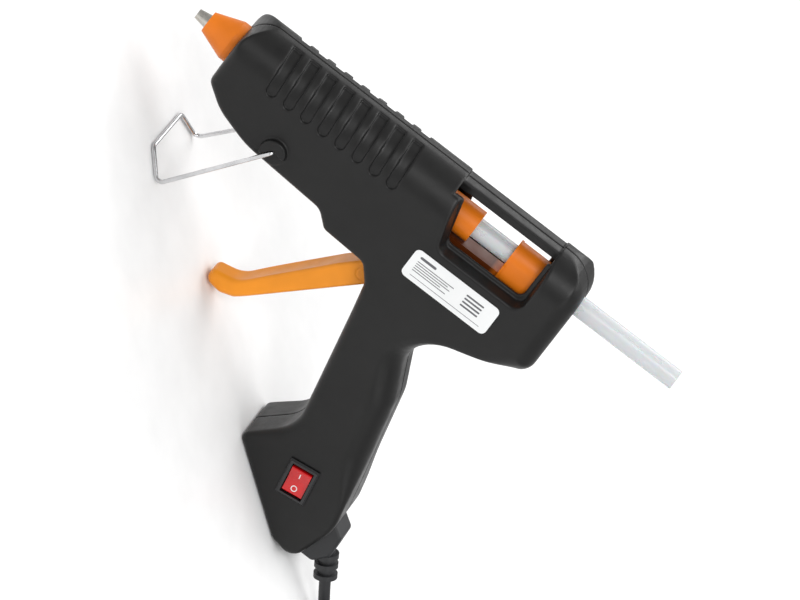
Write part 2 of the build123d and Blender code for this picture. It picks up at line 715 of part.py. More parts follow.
tie_turn = radians(TIE_ANGLE)
tie_plane = Plane(
    origin=(COIL_CENTRE[0], COIL_CENTRE[1], 0),
    x_dir=(cos(tie_turn), sin(tie_turn), 0),
    z_dir=(sin(tie_turn), -cos(tie_turn), 0),
)
with BuildPart() as cord_tie:
    with BuildSketch(tie_plane):
        with Locations((COIL_MEAN_R, sum(COIL_Z) / 2)):
            RectangleRounded(2 * COIL_HALF_WIDTH + 1.7, COIL_Z[1] - COIL_Z[0] + 1.7, 3.6)
            RectangleRounded(2 * COIL_HALF_WIDTH + 0.4, COIL_Z[1] - COIL_Z[0] + 0.4, 3.1, mode=Mode.SUBTRACT)
    revolve(axis=Axis((COIL_CENTRE[0], COIL_CENTRE[1], 0), (0, 0, 1)), revolution_arc=17.0)
write(cord_tie, "cord_tie", turned=False)

PLUG = (COIL_CENTRE[0] + 6.0, COIL_CENTRE[1] + 26.0, COIL_Z[1] + 7.3)
PLUG_LENGTH = 34.0
with BuildPart() as plug_body:
    with BuildSketch(Plane.YZ.offset(PLUG[0])):
        with Locations((PLUG[1], PLUG[2])):
            RectangleRounded(10.0, 8.6, 3.0)
    with BuildSketch(Plane.YZ.offset(PLUG[0] + 14.0)):
        with Locations((PLUG[1], PLUG[2])):
            RectangleRounded(27.0, 12.6, 5.0)
    with BuildSketch(Plane.YZ.offset(PLUG[0] + PLUG_LENGTH)):
        with Locations((PLUG[1], PLUG[2])):
            RectangleRounded(35.3, 13.7, 6.0)
    loft()
write(plug_body, "plug_body", turned=False)

with BuildPart() as plug_pins:
    with BuildSketch(Plane.YZ.offset(PLUG[0] + PLUG_LENGTH)):
        with Locations((PLUG[1] - 9.3, PLUG[2]), (PLUG[1] + 9.3, PLUG[2])):
            Circle(2.0)
    extrude(amount=19.0)
    fillet(plug_pins.edges().filter_by(GeomType.CIRCLE).sort_by(Axis.X)[-2:], 1.0)
write(plug_pins, "plug_pins", turned=False)

# ---------------------------------------------------------------- what the maker checks
section = pi * CORD_R**2
print("stroke of the feed", round(STROKE, 3))
print("drive pin at rest", DRIVE)
print("lead's corner radii", [round(r, 1) for r in cord_radii])
print("lead's volume over section times length", round(mains_cord.part.volume / section / cord_line.wires()[0].length, 4))
print("pivot on the bench", to_bench(*PIVOT), "stand", to_bench(*STAND_PIVOT), "jaw", to_bench(*JAW_PIVOT))
print("rocker", to_bench(*SWITCH), "exit", exit_x, exit_z)
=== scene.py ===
"""Looks of a mains hot-melt glue gun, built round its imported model.

Sizes named *_MM are in millimetres in the gun's own frame: x back from the nozzle tip, z up from
the stick's axis, y to the right. Everything that reaches Blender is in metres on the bench.
"""
import math

import bpy
import numpy as np
import openvdb
from mathutils import Matrix, Vector


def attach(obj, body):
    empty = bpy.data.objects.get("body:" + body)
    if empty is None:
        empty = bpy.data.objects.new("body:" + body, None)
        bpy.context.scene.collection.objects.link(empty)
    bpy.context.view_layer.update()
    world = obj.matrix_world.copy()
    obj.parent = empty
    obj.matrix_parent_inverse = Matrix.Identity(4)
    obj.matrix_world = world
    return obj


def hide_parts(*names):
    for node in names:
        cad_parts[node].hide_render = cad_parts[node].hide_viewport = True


bl_info = {
    "name": "Glue Gun Dresser",
    "version": (1, 0, 0),
    "blender": (4, 5, 0),
    "location": "3D View > Sidebar > Glue Gun",
    "description": "Dresses a glue gun frame with moulded, metal and rubber finishes and a studio",
    "category": "Object",
}

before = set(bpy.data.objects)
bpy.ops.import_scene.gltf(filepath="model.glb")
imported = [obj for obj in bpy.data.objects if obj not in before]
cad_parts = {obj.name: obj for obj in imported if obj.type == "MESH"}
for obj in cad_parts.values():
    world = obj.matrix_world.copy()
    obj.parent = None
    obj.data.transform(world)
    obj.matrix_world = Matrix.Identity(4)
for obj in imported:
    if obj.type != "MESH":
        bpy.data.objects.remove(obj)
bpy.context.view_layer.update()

MM = 0.001
NOSE_DOWN = math.radians(40.0)
FOOT_MID_MM = (168.5, 0.0, -188.75)
HALF_WIDTH = 21.7
CROWN_Z = 0.8
STAND_PIVOT = (73.3, -24.8)
SWITCH_MM = (184.8, -170.8)
HANDLE_RAKE = math.radians(8.6)
LABEL_MM = (187.5, -26.7)
FLOOR_SLOPE = math.tan(NOSE_DOWN)


def foot_z(x):
    """Height of the foot's plane in the gun's frame."""
    return FOOT_MID_MM[2] - (x - FOOT_MID_MM[0]) * FLOOR_SLOPE


OUTLINE = [
    ((25.5, 22.5), 15.0), ((25.5, -16.7), 5.0), ((38.0, -26.5), 30.0), ((60.0, -33.0), 60.0),
    ((109.0, -36.3), 8.0), ((117.0, -44.2), 5.0), ((143.0, -45.6), 6.0), ((150.1, -55.0), 9.0),
    ((166.9, -148.0), 20.0), ((146.2, foot_z(146.2)), 3.7), ((192.0, foot_z(192.0)), 7.0),
    ((206.6, -211.6), 8.0), ((215.2, -183.0), 25.0), ((199.7, -106.0), 30.0), ((190.0, -83.0), 20.0),
    ((190.2, -60.0), 24.0), ((243.6, -41.6), 7.5), ((243.6, 22.5), 20.0),
]
TRIGGER_OUTLINE = [
    ((145.5, -38.5), 4.0), ((159.0, -38.5), 4.0), ((159.0, -53.5), 4.0), ((151.2, -61.9), 3.0),
    ((101.0, -116.5), 8.0), ((94.0, -119.8), 5.0), ((83.5, -117.6), 4.5), ((84.0, -110.4), 3.0),
    ((97.5, -107.5), 14.0), ((111.5, -89.5), 40.0), ((133.0, -62.5), 30.0), ((142.0, -52.5), 6.0),
]
TRIGGER_HALF = 7.8
TRIGGER_CELL = 0.4
TRIGGER_PIVOT = (152.5, -44.5)
TRIGGER_ARM = (24.0, math.radians(19.0))
WINDOW = [((164.5, 17.0), 0.0), ((170.5, -9.0), 4.0), ((217.5, -9.0), 4.0), ((217.5, 17.0), 0.0)]
WINDOW_TOP = 15.8
BEVEL = [((158.8, 26.0), 0.0), ((169.5, -13.0), 6.0), ((221.5, -13.0), 6.0), ((221.5, 26.0), 0.0)]
BEVEL_FLOOR = 14.0
RAIL_X = (159.0, 219.4)
RAIL_HALF = 7.0
RAIL_TOP = 21.3
TRIGGER_SLOT = [
    ((137.5, -30.0), 0.0), ((156.0, -30.0), 0.0), ((156.5, -58.0), 0.0), ((171.0, -143.0), 0.0),
    ((150.0, -143.0), 0.0), ((137.5, -60.0), 0.0),
]
RELIEF_SLOT = [
    ((203.0, -188.0), 0.0), ((209.0, -180.5), 0.0), ((228.0, -186.0), 0.0), ((228.0, -220.0), 0.0),
    ((203.0, -222.0), 0.0), ((200.0, -205.0), 0.0),
]
SCREWS = [
    (40.0, -17.5), (108.0, -28.5), (236.0, -31.0), (180.0, -112.0), (203.0, -158.0), (177.0, -189.0),
]
GROOVE_COUNT = 8
GROOVE_FIRST_X = 49.0
GROOVE_PITCH = 10.9
GROOVE_HALF = 2.95
GROOVE_SPAN = (5.5, 33.0)
BOSS_R = 7.2
BOSS_FACE = 24.7


def gun_matrix():
    """From the gun's frame in millimetres to the bench in metres."""
    turn = Matrix.Rotation(-NOSE_DOWN, 4, "Y")
    return Matrix.Scale(MM, 4) @ turn @ Matrix.Translation(-Vector(FOOT_MID_MM))


GUN = gun_matrix()


def at_gun(x, y, z):
    """A point of the gun's frame, on the bench."""
    return GUN @ Vector((x, y, z))


# ---------------------------------------------------------------- properties
class GlueGunSizes(bpy.types.PropertyGroup):
    """Sizes that a user would change."""

    cell: bpy.props.FloatProperty(
        name="Housing cell",
        description="Spacing of the housing's surface points in millimetres",
        default=0.6, min=0.3, max=2.0,
    )
    wall: bpy.props.FloatProperty(
        name="Wall",
        description="Thickness of the housing's wall in millimetres",
        default=2.4, min=1.0, max=4.0,
    )
    groove_depth: bpy.props.FloatProperty(
        name="Groove depth",
        description="Depth of the grooves over the barrel in millimetres",
        default=1.35, min=0.0, max=2.0,
    )
    parting: bpy.props.FloatProperty(
        name="Parting line",
        description="Softness of the edge where the halves meet, in millimetres",
        default=0.5, min=0.1, max=1.0,
    )
    lead: bpy.props.FloatProperty(
        name="Lead diameter",
        description="Outside diameter of the mains lead",
        default=0.0062, min=0.004, max=0.01, subtype="DISTANCE", unit="LENGTH", precision=4,
    )


def colour_property(name, description, default):
    """A linear colour that the panel shows as a swatch."""
    return bpy.props.FloatVectorProperty(
        name=name, description=description, subtype="COLOR", size=3, default=default, min=0.0, max=1.0)


class GlueGunColours(bpy.types.PropertyGroup):
    """Colours that a user would change."""

    housing: colour_property("Housing", "Moulded housing", (0.0072, 0.0071, 0.0070))
    trigger: colour_property("Trigger", "Moulded trigger", (0.80, 0.27, 0.012))
    orange: colour_property("Orange", "Nozzle guard and feed", (0.76, 0.185, 0.006))
    rocker: colour_property("Rocker", "Rocker of the switch", (0.56, 0.004, 0.006))
    label: colour_property("Label", "Film of the label", (0.80, 0.81, 0.81))
    stick: colour_property("Stick", "Glue stick", (0.68, 0.71, 0.73))
    lead: colour_property("Lead", "Rubber of the lead and plug", (0.014, 0.0145, 0.016))
    floor: colour_property("Floor", "Studio floor", (0.92, 0.92, 0.92))


# ---------------------------------------------------------------- finishes
class Finish:
    """A node material under construction."""

    def __init__(self, name):
        self.material = bpy.data.materials.new(name)
        self.material.use_nodes = True
        self.tree = self.material.node_tree
        self.shader = self.tree.nodes["Principled BSDF"]
        self.coords = self.tree.nodes.new("ShaderNodeTexCoord")

    def node(self, kind, **values):
        """A node with its inputs set by name."""
        made = self.tree.nodes.new(kind)
        for key, value in values.items():
            made.inputs[key].default_value = value
        return made

    def link(self, out, into):
        """Joins two sockets."""
        self.tree.links.new(out, into)

    def noise(self, scale, detail=4.0, roughness=0.55, stretch=None):
        """Noise over the object's own coordinates, with an optional stretch."""
        made = self.node("ShaderNodeTexNoise", Scale=scale, Detail=detail, Roughness=roughness)
        source = self.coords.outputs["Object"]
        if stretch:
            mapping = self.node("ShaderNodeMapping", Scale=stretch)
            self.link(source, mapping.inputs["Vector"])
            source = mapping.outputs["Vector"]
        self.link(source, made.inputs["Vector"])
        return made.outputs["Fac"]

    def spread(self, factor, low, high, start=0.3, end=0.7):
        """Maps noise onto a range of values."""
        made = self.node("ShaderNodeMapRange")
        made.inputs["From Min"].default_value = start
        made.inputs["From Max"].default_value = end
        made.inputs["To Min"].default_value = low
        made.inputs["To Max"].default_value = high
        self.link(factor, made.inputs["Value"])
        return made.outputs["Result"]

    def tint(self, factor, colour, darker, lighter):
        """Base colour that drifts between a darker and a lighter shade."""
        mix = self.tree.nodes.new("ShaderNodeMix")
        mix.data_type = "RGBA"
        shades = [tuple(min(c * k, 1.0) for c in colour) + (1.0,) for k in (darker, lighter)]
        mix.inputs[6].default_value, mix.inputs[7].default_value = shades
        self.link(factor, mix.inputs["Factor"])
        self.link(mix.outputs[2], self.shader.inputs["Base Color"])

    def bump(self, layers):
        """Stacks bumps from (factor, strength, distance) layers."""
        normal = None
        for factor, strength, distance in layers:
            made = self.node("ShaderNodeBump", Strength=strength, Distance=distance)
            self.link(factor, made.inputs["Height"])
            if normal:
                self.link(normal, made.inputs["Normal"])
            normal = made.outputs["Normal"]
        self.link(normal, self.shader.inputs["Normal"])

    # painted shade: darkens the base colour on one side of a plane across the piece
    def fade_before(self, direction, start, end, colour):
        """Fades the base colour to another on one side of a plane across the piece."""
        reach = self.tree.nodes.new("ShaderNodeVectorMath")
        reach.operation = "DOT_PRODUCT"
        reach.inputs[1].default_value = direction
        self.link(self.coords.outputs["Object"], reach.inputs[0])
        mix = self.tree.nodes.new("ShaderNodeMix")
        mix.data_type = "RGBA"
        mix.inputs[6].default_value = (*colour, 1.0)
        base = self.shader.inputs["Base Color"]
        self.link(base.links[0].from_socket, mix.inputs[7])
        self.link(self.spread(reach.outputs["Value"], 0.0, 1.0, start, end), mix.inputs["Factor"])
        self.link(mix.outputs[2], base)

    def set(self, **values):
        """Sets the shader's own sockets."""
        for key, value in values.items():
            self.shader.inputs[key.replace("_", " ")].default_value = value


def moulded(name, colour, low, high, grain=0.12, specular=0.5, painted_shade_plane=None):
    """Spark-grained moulding: fine pebble, faint flow marks and a slight drift of colour and gloss."""
    finish = Finish(name)
    drift = finish.noise(28.0, 3.0)
    pebble = finish.noise(2600.0, 2.0, 0.5)
    flow = finish.noise(55.0, 2.0, 0.4, (1.0, 1.0, 2.5))
    smear = finish.noise(160.0, 5.0, 0.6)
    finish.tint(finish.spread(drift, 0.0, 1.0), colour, 0.88, 1.14)
    finish.link(finish.spread(smear, low, high), finish.shader.inputs["Roughness"])
    finish.bump([(pebble, grain, 0.00009), (flow, 0.10, 0.0003)])
    finish.set(Specular_IOR_Level=specular)
    # painted shade: if given, the base colour fades to a darker one before a plane across the piece
    if painted_shade_plane:
        finish.fade_before(*painted_shade_plane)
    return finish.material


def turned_metal(name, colour, low, high, lines=900.0):
    """Metal with fine tool lines across the barrel and faint heat stain."""
    finish = Finish(name)
    brush = finish.noise(lines, 3.0, 0.6, (1.0, 0.12, 1.0))
    stain = finish.noise(120.0, 4.0)
    finish.tint(finish.spread(stain, 0.0, 1.0), colour, 0.78, 1.08)
    finish.link(finish.spread(brush, low, high), finish.shader.inputs["Roughness"])
    finish.bump([(brush, 0.15, 0.00005)])
    finish.set(Metallic=1.0)
    return finish.material


def rubber(name, colour):
    """Soft sheathing: matt with a fine drag and a little dust."""
    finish = Finish(name)
    dust = finish.noise(75.0, 5.0, 0.65)
    drag = finish.noise(1500.0, 2.0, 0.5)
    finish.tint(finish.spread(dust, 0.0, 1.0), colour, 0.85, 1.5)
    finish.link(finish.spread(dust, 0.42, 0.6), finish.shader.inputs["Roughness"])
    finish.bump([(drag, 0.12, 0.00008)])
    return finish.material


def stick_finish(name, colour):
    """Waxy translucent glue with cloudy depth and extrusion streaks along its length."""
    finish = Finish(name)
    cloud = finish.noise(90.0, 4.0, 0.6)
    streak = finish.noise(420.0, 3.0, 0.5, (0.2, 1.0, 0.2))
    finish.tint(finish.spread(cloud, 0.0, 1.0), colour, 0.975, 1.02)
    finish.link(finish.spread(streak, 0.24, 0.34), finish.shader.inputs["Roughness"])
    finish.bump([(streak, 0.03, 0.00006)])
    finish.set(IOR=1.48, Transmission_Weight=0.25, Subsurface_Weight=0.3, Subsurface_Scale=0.006)
    return finish.material


def film_finish(name, colour):
    """Printed film: slightly glossy, with a faint orange-peel surface."""
    finish = Finish(name)
    peel = finish.noise(900.0, 2.0, 0.5)
    cast = finish.noise(40.0, 3.0)
    finish.tint(finish.spread(cast, 0.0, 1.0), colour, 0.97, 1.02)
    finish.link(finish.spread(peel, 0.32, 0.44), finish.shader.inputs["Roughness"])
    finish.bump([(peel, 0.08, 0.00006)])
    return finish.material


def dress(node, material):
    """Gives a node of the frame its material."""
    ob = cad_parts[node]
    ob.data.materials.clear()
    ob.data.materials.append(material)


def made_piece(name, mesh, material, body, smooth=True):
    """A new piece on the bench that rides on a body."""
    mesh.materials.append(material)
    if smooth:
        mesh.polygons.foreach_set("use_smooth", [True] * len(mesh.polygons))
    ob = bpy.data.objects.new(name, mesh)
    bpy.context.scene.collection.objects.link(ob)
    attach(ob, body)
    return ob


# ---------------------------------------------------------------- housing as a distance field
def round_corners(corners, steps=9):
    """Closed outline with an arc at each corner that has a radius."""
    points = []
    count = len(corners)
    for i, (here, radius) in enumerate(corners):
        here = np.array(here, float)
        if radius <= 0:
            points.append(here)
            continue
        back = np.array(corners[i - 1][0], float) - here
        ahead = np.array(corners[(i + 1) % count][0], float) - here
        back /= np.linalg.norm(back)
        ahead /= np.linalg.norm(ahead)
        opening = math.acos(float(np.clip(back @ ahead, -1.0, 1.0)))
        middle = (back + ahead) / np.linalg.norm(back + ahead)
        centre = here + middle * radius / math.sin(opening / 2)
        first = here + back * radius / math.tan(opening / 2) - centre
        last = here + ahead * radius / math.tan(opening / 2) - centre
        sweep = math.pi - opening
        for k in range(steps + 1):
            t = k / steps
            arc = first * math.sin((1 - t) * sweep) + last * math.sin(t * sweep)
            points.append(centre + arc / math.sin(sweep))
    return np.array(points)


def outline_distance(points, x, z):
    """Signed distance to a closed outline, negative inside."""
    nearest = np.full(np.broadcast(x, z).shape, 1e9)
    inside = np.zeros(nearest.shape, bool)
    for a, b in zip(points, np.roll(points, -1, axis=0)):
        run = b - a
        length = float(run @ run)
        if length < 1e-12:
            continue
        t = np.clip(((x - a[0]) * run[0] + (z - a[1]) * run[1]) / length, 0, 1)
        nearest = np.minimum(nearest, (x - a[0] - t * run[0]) ** 2 + (z - a[1] - t * run[1]) ** 2)
        if a[1] != b[1]:
            crossing = (a[1] > z) != (b[1] > z)
            inside ^= crossing & (x < a[0] + (z - a[1]) * run[0] / run[1])
    return np.where(inside, -1, 1) * np.sqrt(nearest)


def cut(form, tool, soft):
    """Takes tool out of form, with an edge softened by soft."""
    return blend_max(form, -tool, soft)


def blend_max(a, b, soft):
    """Soft intersection of two fields."""
    h = np.maximum(soft - np.abs(a - b), 0) / soft
    return np.maximum(a, b) + h * h * soft * 0.25


def blend_min(a, b, soft):
    """Soft union of two fields."""
    return -blend_max(-a, -b, soft)


def ease(value, low, high):
    """Smooth step from 0 at low to 1 at high."""
    t = np.clip((value - low) / (high - low), 0, 1)
    return t * t * (3 - 2 * t)


def stand_slot():
    """Corners of the slot in the boss that lets the wire swing."""
    along, height = -174.2, 1.15
    c, s = math.cos(NOSE_DOWN), math.sin(NOSE_DOWN)
    foot = (FOOT_MID_MM[0] + along * c + height * s, FOOT_MID_MM[2] - along * s + height * c)
    start = np.array([foot[0] - STAND_PIVOT[0], foot[1] - STAND_PIVOT[1]])
    start /= np.linalg.norm(start)
    turn = math.radians(110.0)
    end = np.array([start[0] * math.cos(turn) - start[1] * math.sin(turn),
                    start[0] * math.sin(turn) + start[1] * math.cos(turn)])
    pivot = np.array(STAND_PIVOT)
    side, far = 1.6, 11.0
    first, last = np.array([start[1], -start[0]]), np.array([-end[1], end[0]])
    middle = 1.6 * far * (start + end)
    rays = (side * first, side * first + far * start, middle, side * last + far * end, side * last)
    return [(tuple(pivot + ray), 0.0) for ray in rays]


def housing_fields(sizes):
    """Field of a half housing, and its origin, for cells with y from 0 outwards."""
    cell = sizes.cell
    xs = np.arange(23.0, 248.0, cell)
    ys = np.arange(-2 * cell, 27.0, cell)
    zs = np.arange(-215.5, 25.5, cell)
    x, z = xs[:, None, None], zs[None, None, :]
    y = np.abs(ys)[None, :, None]
    flat = outline_distance(round_corners(OUTLINE), x, z)
    # roundness of the side edges: soft down the back of the handle and round the rear, tight elsewhere
    across = (x - (158.4 - (z + 98.0) * 0.172)) / 40.0
    in_handle = ease(-z, 50.0, 80.0) * (1 - ease(-z, 140.0, 172.0))
    rear = ease(x, 218.0, 240.0) * ease(z, -60.0, -38.0)
    nose = 1 - ease(x, 30.0, 60.0)
    edge = 3.6 + in_handle * (3.4 + 6.5 * ease(across, 0.25, 0.75)) + 8.5 * rear + 2.0 * nose
    q1, q2 = flat + edge, y - (HALF_WIDTH - edge)
    form = np.hypot(np.maximum(q1, 0), np.maximum(q2, 0)) + np.minimum(np.maximum(q1, q2), 0) - edge
    crown = np.where(z > CROWN_Z, np.hypot(y, z - CROWN_Z), y * np.ones_like(z)) - HALF_WIDTH
    form = blend_max(form, crown, 0.5).astype(np.float32)
    cavity = form + sizes.wall
    # grooves pressed into the shoulder, from beside the spine to a rounded end
    quarter = HALF_WIDTH * math.pi / 2
    around = np.where(z > CROWN_Z, HALF_WIDTH * np.arctan2(y, z - CROWN_Z), quarter + CROWN_Z - z)
    for i in range(GROOVE_COUNT):
        middle = GROOVE_FIRST_X + GROOVE_PITCH * i + GROOVE_HALF
        low, high = np.searchsorted(xs, (middle - 6.0, middle + 9.0))
        part = slice(low, high)
        lean = middle + 2.6 * around / 36.0
        bar = np.hypot(x[part] - lean, np.maximum(around - GROOVE_SPAN[1], 0)) - GROOVE_HALF
        bar = np.maximum(bar, GROOVE_SPAN[0] - around)
        tool = blend_max(bar, -(form[part] + sizes.groove_depth), 0.4)
        form[part] = cut(form[part], tool, 0.5)
    # boss of the stand
    from_pivot = np.hypot(x - STAND_PIVOT[0], z - STAND_PIVOT[1])
    form = blend_min(form, blend_max(from_pivot - BOSS_R, y - BOSS_FACE, 1.0), 0.8)
    slot = np.minimum(outline_distance(round_corners(stand_slot()), x, z), from_pivot - 1.6)
    form = cut(form, np.maximum(slot, 22.1 - y), 0.4)
    # hollow, keeping a frame round the window
    bevel = outline_distance(round_corners(BEVEL), x, z)
    keep = np.maximum(bevel - sizes.wall, 11.6 - y)
    form = cut(form, np.maximum(cavity, -keep), 0.4)
    rail_x = np.maximum(RAIL_X[0] - x, x - RAIL_X[1])
    rail_section = np.maximum(y - RAIL_HALF, np.maximum(WINDOW_TOP - z, z - RAIL_TOP))
    rail = np.maximum(np.maximum(156.0 - x, x - 224.0), rail_section)
    form = blend_min(form, rail, 0.3)
    form = cut(form, np.maximum(bevel + (HALF_WIDTH - y) * 0.22, BEVEL_FLOOR - y), 1.4)
    form = cut(form, np.maximum(rail_x, np.maximum(RAIL_HALF - y, WINDOW_TOP - z)), 1.0)
    form = cut(form, np.maximum(rail_x, RAIL_TOP - z), 1.0)
    form = cut(form, np.maximum(outline_distance(round_corners(WINDOW), x, z), z - WINDOW_TOP), 1.2)
    # openings for the trigger, nozzle, stick and lead
    trigger = np.maximum(outline_distance(round_corners(TRIGGER_SLOT), x, z), y - 8.4)
    form = cut(form, trigger, 0.8)
    radius = np.hypot(y, z)
    form = cut(form, np.maximum(radius - 11.7, x - 33.0), 0.8)
    form = cut(form, np.maximum(radius - 13.7, np.maximum(27.9 - x, x - 33.0)), 0.4)
    form = cut(form, np.maximum(radius - 6.2, 236.0 - x), 1.0)
    form = cut(form, np.maximum(outline_distance(round_corners(RELIEF_SLOT), x, z), y - 9.8), 0.5)
    return form, (xs, ys, zs)


def trigger_field(cell):
    """Field of the trigger: a tip rounded all ways, a dished finger pad and the arm to the drive pin."""
    xs = np.arange(80.0, 168.0, cell)
    ys = np.arange(-10.0, 10.0, cell)
    zs = np.arange(-124.0, -16.0, cell)
    x, y, z = xs[:, None, None], np.abs(ys)[None, :, None], zs[None, None, :]
    flat = outline_distance(round_corners(TRIGGER_OUTLINE), x, z)
    # finger pad: how far a point lies towards the barrel from the middle of the blade
    towards = (z + 81.0) * 0.637 - (x - 118.5) * 0.770
    pad = ease(towards, -7.0, -1.0) * ease(-z, 60.0, 75.0) * ease(x, 92.0, 108.0)
    flat = flat + 0.8 * pad * np.clip(1 - (y / 6.5) ** 2, 0, 1)
    edge = 2.0 + 4.4 * ease(-x, -108.0, -88.0) * (1 - 0.6 * ease(towards, -8.5, -1.0))
    q1, q2 = flat + edge, y - (TRIGGER_HALF - edge)
    form = np.hypot(np.maximum(q1, 0), np.maximum(q2, 0)) + np.minimum(np.maximum(q1, q2), 0) - edge
    ring = np.abs(np.hypot(x - 146.4, z + 58.2) - 3.2) - 0.35
    form = cut(form, np.maximum(ring, 7.45 - y), 0.3)
    # arm to the drive pin, and both pin holes
    length, lean = TRIGGER_ARM
    along = (x - TRIGGER_PIVOT[0]) * math.sin(lean) + (z - TRIGGER_PIVOT[1]) * math.cos(lean)
    across = (x - TRIGGER_PIVOT[0]) * math.cos(lean) - (z - TRIGGER_PIVOT[1]) * math.sin(lean)
    arm = np.hypot(across, along - np.clip(along, 0, length)) - 3.6
    form = blend_min(form, np.maximum(arm, y - 3.0), 0.8)
    form = cut(form, np.hypot(across, along) - 2.05 + 0 * y, 0.2)
    form = cut(form, np.hypot(across, along - length) - 1.55 + 0 * y, 0.2)
    return form, (xs, ys, zs)


def side_field(form, axes, side, sizes):
    """Field of one half: the left has the switch's hole, the right the screw pockets."""
    xs, ys, zs = axes
    x, y, z = xs[:, None, None], ys[None, :, None], zs[None, None, :]
    form = form.copy()
    if side < 0:
        c, s = math.cos(HANDLE_RAKE), math.sin(HANDLE_RAKE)
        across = np.abs((x - SWITCH_MM[0]) * c + (z - SWITCH_MM[1]) * s) - 7.5
        along = np.abs(-(x - SWITCH_MM[0]) * s + (z - SWITCH_MM[1]) * c) - 10.3
        form = cut(form, np.maximum(np.maximum(across, along), 12.0 - y), 0.3)
    else:
        for sx, sz in SCREWS:
            part = slice(*np.searchsorted(xs, (sx - 7.0, sx + 7.0)))
            away = np.hypot(x[part] - sx, z - sz)
            post = np.maximum(away - 4.6, y - (HALF_WIDTH - 1.0))
            post = np.maximum(post, 10.0 - y)
            form[part] = blend_min(form[part], post, 0.5)
            form[part] = cut(form[part], np.maximum(away - 3.2, 13.9 - y), 0.6)
    return blend_max(form, -y, sizes.parting)


def surface(field, axes, cell, side):
    """Closed surface of a field as a mesh on the bench."""
    grid = openvdb.FloatGrid(background=3.0)
    grid.copyFromArray(np.ascontiguousarray(np.clip(field, -3.0, 3.0), dtype=np.float32))
    grid.transform = openvdb.createLinearTransform(voxelSize=cell)
    points, quads = grid.convertToQuads(0.0)
    points = np.asarray(points, float) + np.array([axes[0][0], axes[1][0], axes[2][0]])
    points[:, 1] *= side
    matrix = np.array(GUN)
    points = points @ matrix[:3, :3].T + matrix[:3, 3]
    quads = np.asarray(quads)
    order = quads if side < 0 else quads[:, ::-1]
    mesh = bpy.data.meshes.new("housing_half")
    mesh.from_pydata(points.tolist(), [], order.tolist())
    mesh.validate()
    return mesh


# ---------------------------------------------------------------- operators
class GLUEGUN_OT_lead(bpy.types.Operator):
    """Lay the mains lead and its coil, and finish its plug, tie and sleeve"""

    bl_idname = "gluegun.lead"
    bl_label = "Lead"

    def execute(self, context):
        """Runs the lead's route and winds seven turns, two beside, three over them and two on top."""
        sheath = rubber("lead_rubber", context.scene.gluegun_colours.lead)
        route = [
            (0.06397, 0.0, 0.0136), (0.07797, 0.0, 0.0083), (0.09297, 0.003, 0.004),
            (0.10897, 0.010, 0.004), (0.121, 0.0155, 0.004),
        ]
        centre, rows = (0.122, -0.018), (0.0040, 0.0095, 0.0150)
        turns = [
            (0.0351, rows[0]), (0.0289, rows[0]), (0.0258, rows[1]), (0.0320, rows[1]),
            (0.0382, rows[1]), (0.0351, rows[2]), (0.0289, rows[2]),
        ]
        steps = 20
        for number, (radius, height) in enumerate(turns):
            onward = turns[number + 1] if number + 1 < len(turns) else (0.0272, 0.0256)
            shift_from = 0.30 if number + 1 < len(turns) else 0.55
            for k in range(steps):
                part = (k + 1) / (steps + 1)
                t = min(max((part - shift_from) / (1 - shift_from), 0.0), 1.0)
                t = t * t * (3 - 2 * t)
                r, h = radius + t * (onward[0] - radius), height + t * (onward[1] - height)
                a = math.pi / 2 - 2 * math.pi * part
                route.append((centre[0] + r * math.cos(a), centre[1] + r * math.sin(a), h))
        route += [(0.123, 0.0086, 0.0258), (0.1295, 0.0083, 0.0258)]
        curve = bpy.data.curves.new("mains_lead", "CURVE")
        curve.dimensions = "3D"
        spline = curve.splines.new("NURBS")
        spline.points.add(len(route) - 1)
        for point, place in zip(spline.points, route):
            point.co = (*place, 1.0)
        spline.order_u = 3
        spline.use_endpoint_u = True
        spline.resolution_u = 6
        curve.bevel_depth = context.scene.gluegun_sizes.lead / 2
        curve.bevel_resolution = 5
        curve.use_fill_caps = True
        curve.materials.append(sheath)
        lead = bpy.data.objects.new("mains_lead", curve)
        context.scene.collection.objects.link(lead)
        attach(lead, "housing")
        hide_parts("mains_cord", "cord_coil")
        for node in ("strain_relief", "cord_tail", "cord_tie", "plug_body"):
            dress(node, sheath)
        dress("plug_pins", turned_metal("pin_plating", (0.80, 0.70, 0.45), 0.18, 0.34))
        return {"FINISHED"}


class GLUEGUN_OT_housing(bpy.types.Operator):
    """Build both halves of the housing with grooves, boss, window and parting line"""

    bl_idname = "gluegun.housing"
    bl_label = "Housing"

    def execute(self, context):
        """Shapes one field for both halves, then finishes each side."""
        sizes = context.scene.gluegun_sizes
        finish = moulded("housing_moulding", context.scene.gluegun_colours.housing, 0.34, 0.47, 0.16, 0.3)
        form, axes = housing_fields(sizes)
        for name, node, side in (("housing_left", "left_shell", -1), ("housing_right", "right_shell", 1)):
            mesh = surface(side_field(form, axes, side, sizes), axes, sizes.cell, side)
            half = made_piece(name, mesh, finish, "housing")
            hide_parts(node)
        return {"FINISHED"}


class GLUEGUN_OT_hot_end(bpy.types.Operator):
    """Finish the nozzle, its guard, the melt chamber and its seals"""

    bl_idname = "gluegun.hot_end"
    bl_label = "Hot end"

    def execute(self, context):
        """Gives each hot part its metal, ceramic or silicone."""
        orange = moulded("guard_moulding", context.scene.gluegun_colours.orange, 0.36, 0.5, 0.10, 0.32)
        dress("nozzle_sleeve", orange)
        dress("nozzle_tip", turned_metal("nozzle_metal", (0.60, 0.58, 0.53), 0.22, 0.42))
        dress("melt_chamber", turned_metal("cast_metal", (0.62, 0.62, 0.63), 0.45, 0.62, 300.0))
        dress("heater_element", moulded("ceramic", (0.80, 0.77, 0.70), 0.6, 0.8))
        dress("feed_sleeve", rubber("silicone", (0.42, 0.08, 0.04)))
        steel = turned_metal("spring_steel", (0.5, 0.5, 0.5), 0.25, 0.4)
        for node in ("check_ball", "check_spring", "sleeve_clip"):
            dress(node, steel)
        return {"FINISHED"}


